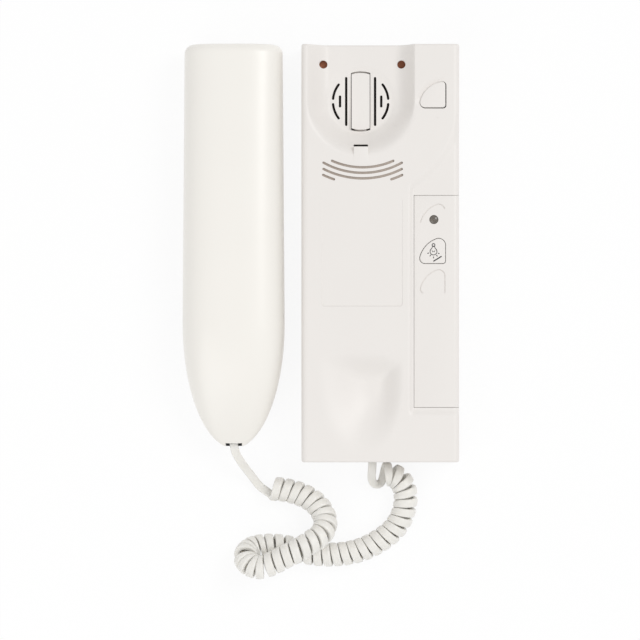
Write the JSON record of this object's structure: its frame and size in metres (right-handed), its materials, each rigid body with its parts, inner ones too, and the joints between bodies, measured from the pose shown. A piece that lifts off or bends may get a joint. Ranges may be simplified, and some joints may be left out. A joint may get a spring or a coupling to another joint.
{
  "type": "audio intercom handset station",
  "caption": "White wall intercom station with ear and mouth cradles, hook lever and push keys, beside its handset on a curly cord.",
  "frame": {"origin": "middle of the station's back face, where it meets the wall or the table", "axes": "+X to the station's right, +Y up the station, +Z out of its front"},
  "size_m": [0.1406, 0.2715, 0.038],
  "materials": {
    "station_plastic": "fine satin moulding",
    "handset_plastic": "smooth satin moulding",
    "cord_jacket": "soft extruded jacket",
    "dark_plastic": "plain moulding",
    "clear_plastic": "clear moulding",
    "lamp_lens": "unlit diffusing lens",
    "phenolic_board": "brown laminate",
    "steel": "plated",
    "ferrite": "sintered",
    "paper_cone": "pressed paper",
    "sound_cloth": "thin cloth",
    "blue_sleeve": "shrunk sleeve",
    "tan_lacquer": "lacquer",
    "yellow_tape": "wound tape",
    "terminal_plastic": "plain moulding",
    "capsule_plastic": "plain moulding",
    "soft_rubber": "soft moulding",
    "red_plastic": "plain",
    "green_plastic": "plain"
  },
  "bodies": {
    "station": {"rear_tray": "station_plastic", "front_cover": "station_plastic", "side_panel": "station_plastic", "door_key_spring": "steel", "door_switch": "dark_plastic", "light_key_spring": "steel", "light_switch": "dark_plastic", "status_light": "lamp_lens", "status_light_sleeve": "dark_plastic", "hook_pin": "steel", "hook_spring": "steel", "hook_switch": "dark_plastic", "circuit_board": "phenolic_board", "board_capacitors": "blue_sleeve", "board_resistors": "tan_lacquer", "board_transformer": "yellow_tape", "board_screws": "steel", "sounder_basket": "steel", "sounder_cone": "paper_cone", "sounder_magnet": "ferrite", "sounder_cloth": "sound_cloth", "terminal_block": "terminal_plastic", "terminal_screws": "steel", "inner_wires": "red_plastic", "cover_screw": "steel", "station_jack": "dark_plastic", "station_plug": "clear_plastic", "handset_lead": "cord_jacket", "curly_cord": "cord_jacket", "base_lead": "cord_jacket"},
    "handset": {"handset_back": "handset_plastic", "handset_front": "handset_plastic", "receiver_capsule": "capsule_plastic", "receiver_gasket": "soft_rubber", "microphone_capsule": "steel", "microphone_boot": "soft_rubber", "balance_weight": "steel", "handset_screws": "steel", "handset_jack": "dark_plastic", "handset_plug": "clear_plastic", "handset_wires": "green_plastic"},
    "hook": {"hook_lever": "station_plastic"},
    "plunger": {"hook_plunger": "red_plastic"},
    "door_button": {"door_key": "station_plastic", "door_key_stem": "dark_plastic"},
    "light_button": {"light_key": "station_plastic", "light_key_stem": "dark_plastic"}
  },
  "joints": [
    {"name": "handset_lift", "type": "slide", "parent": "station", "child": "handset", "axis": [0, 0, 1], "range_m": [0, 0.08], "deforming": ["handset_lead", "curly_cord"]},
    {"name": "hook_press", "type": "hinge", "parent": "station", "child": "hook", "pos_m": [-0.0099, 0.09535, 0.0144], "axis": [1, 0, 0], "range_deg": [0, 4], "stiffness_Nm_per_rad": 0.03, "springref_deg": -8.59, "deforming": ["hook_spring"]},
    {"name": "plunger_press", "type": "slide", "parent": "station", "child": "plunger", "axis": [0, 0, -1], "range_m": [0, 0.0012]},
    {"name": "door_key_press", "type": "slide", "parent": "station", "child": "door_button", "axis": [0, 0, -1], "range_m": [0, 0.0015], "stiffness_N_per_m": 400, "springref_m": -0.0015, "deforming": ["door_key_spring"]},
    {"name": "light_key_press", "type": "slide", "parent": "station", "child": "light_button", "axis": [0, 0, -1], "range_m": [0, 0.0015], "stiffness_N_per_m": 400, "springref_m": -0.0015, "deforming": ["light_key_spring"]}
  ],
  "couplings": [
    {"joint": "plunger_press", "follows": "hook_press", "m_per_rad": 0.016}
  ]
}
